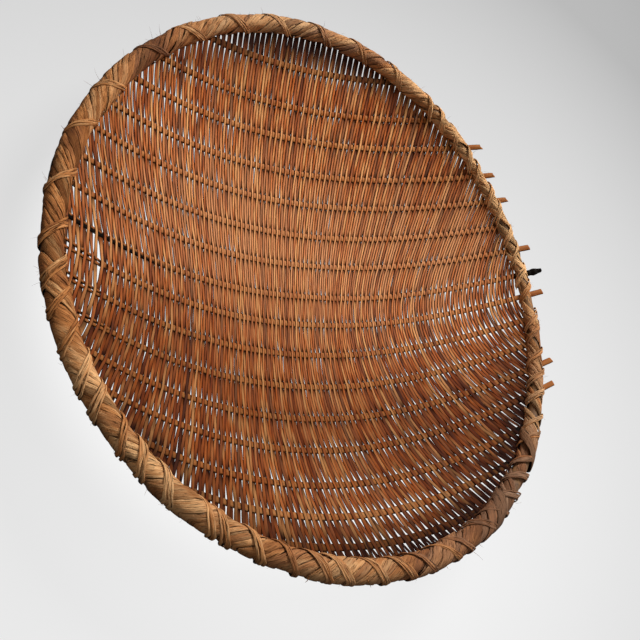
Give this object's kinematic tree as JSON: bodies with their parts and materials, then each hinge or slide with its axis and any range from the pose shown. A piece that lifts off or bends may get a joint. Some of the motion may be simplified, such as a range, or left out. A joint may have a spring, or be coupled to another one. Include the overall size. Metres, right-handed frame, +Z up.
{
  "type": "round tray basket",
  "caption": "Round shallow woven bamboo tray basket with flat stakes, fine weavers and a bast-lashed rim, worn amber brown.",
  "frame": {"origin": "middle of the flat worn patch under the base, where the basket stands", "axes": "+Z up out of the mouth, +X along the stakes towards their cut ends that stick out, +Y along the weavers"},
  "size_m": [0.4667, 0.4776, 0.0861],
  "materials": {
    "bamboo_stake": "satin",
    "bamboo_weaver": "satin",
    "bamboo_hoop": "matte",
    "bast_binding": "matte"
  },
  "bodies": {
    "root": {"stake_01": "bamboo_stake", "stake_02": "bamboo_stake", "stake_03": "bamboo_stake", "stake_04": "bamboo_stake", "stake_05": "bamboo_stake", "stake_06": "bamboo_stake", "stake_07": "bamboo_stake", "stake_08": "bamboo_stake", "stake_09": "bamboo_stake", "stake_10": "bamboo_stake", "stake_11": "bamboo_stake", "stake_12": "bamboo_stake", "stake_13": "bamboo_stake", "stake_14": "bamboo_stake", "stake_15": "bamboo_stake", "stake_16": "bamboo_stake", "weaver_band_01": "bamboo_weaver", "weaver_band_02": "bamboo_weaver", "weaver_band_03": "bamboo_weaver", "weaver_band_04": "bamboo_weaver", "weaver_band_05": "bamboo_weaver", "weaver_band_06": "bamboo_weaver", "weaver_band_07": "bamboo_weaver", "weaver_band_08": "bamboo_weaver", "weaver_band_09": "bamboo_weaver", "weaver_band_10": "bamboo_weaver", "weaver_band_11": "bamboo_weaver", "weaver_band_12": "bamboo_weaver", "weaver_band_13": "bamboo_weaver", "weaver_band_14": "bamboo_weaver", "weaver_band_15": "bamboo_weaver", "weaver_band_16": "bamboo_weaver", "weaver_band_17": "bamboo_weaver", "weaver_band_18": "bamboo_weaver", "weaver_band_19": "bamboo_weaver", "weaver_band_20": "bamboo_weaver", "weaver_band_21": "bamboo_weaver", "weaver_band_22": "bamboo_weaver", "weaver_band_23": "bamboo_weaver", "weaver_band_24": "bamboo_weaver", "weaver_band_25": "bamboo_weaver", "weaver_band_26": "bamboo_weaver", "weaver_band_27": "bamboo_weaver", "weaver_band_28": "bamboo_weaver", "weaver_band_29": "bamboo_weaver", "weaver_band_30": "bamboo_weaver", "weaver_band_31": "bamboo_weaver", "rim_hoop_inner": "bamboo_hoop", "rim_hoop_outer": "bamboo_hoop", "rim_binding_1": "bast_binding", "rim_binding_2": "bast_binding", "rim_binding_3": "bast_binding", "rim_binding_4": "bast_binding", "rim_binding_5": "bast_binding", "rim_binding_6": "bast_binding", "rim_binding_7": "bast_binding", "rim_binding_8": "bast_binding"}
  },
  "joints": []
}
